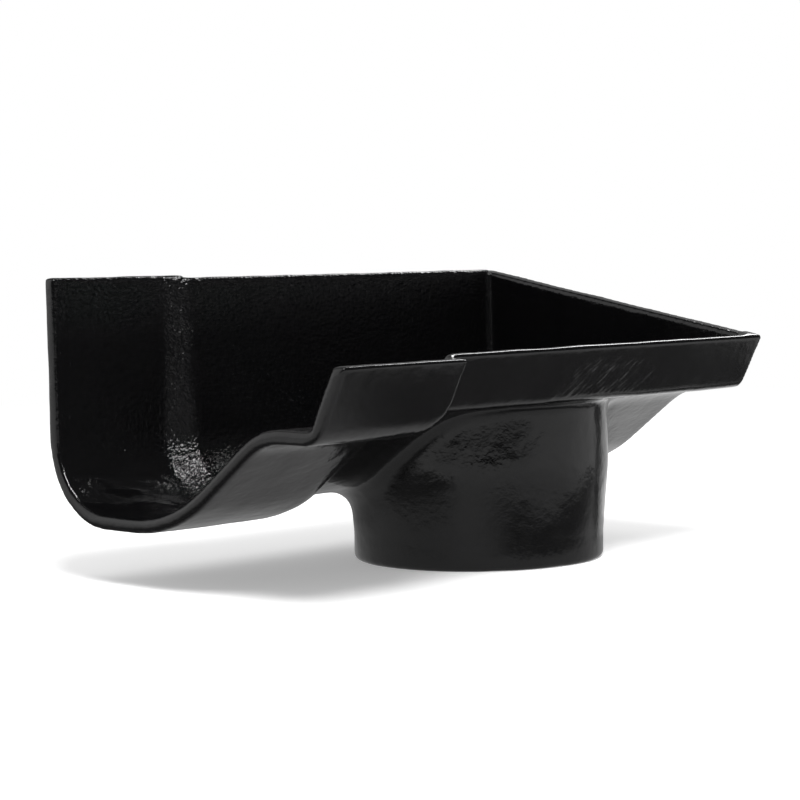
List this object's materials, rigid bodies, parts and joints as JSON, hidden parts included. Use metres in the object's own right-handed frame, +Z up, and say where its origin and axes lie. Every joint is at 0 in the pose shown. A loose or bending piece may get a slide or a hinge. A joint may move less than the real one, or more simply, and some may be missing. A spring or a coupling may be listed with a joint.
{
  "type": "ogee gutter stop end outlet",
  "caption": "Cast ogee gutter end with a closed stop end, an open socket for the next length of gutter and a round outlet spigot underneath.",
  "frame": {"origin": "on the outlet's axis, level with the lower rim of the spigot", "axes": "+X runs along the gutter from the open socket to the stop end, -Y is the front with the ogee and the lip, +Y is the flat back towards the wall, +Z is up"},
  "size_m": [0.1815, 0.1233, 0.0858],
  "materials": {
    "black_gloss": "gloss black paint on sand-cast iron"
  },
  "bodies": {
    "root": {"outlet_casting": "black_gloss"}
  },
  "joints": []
}
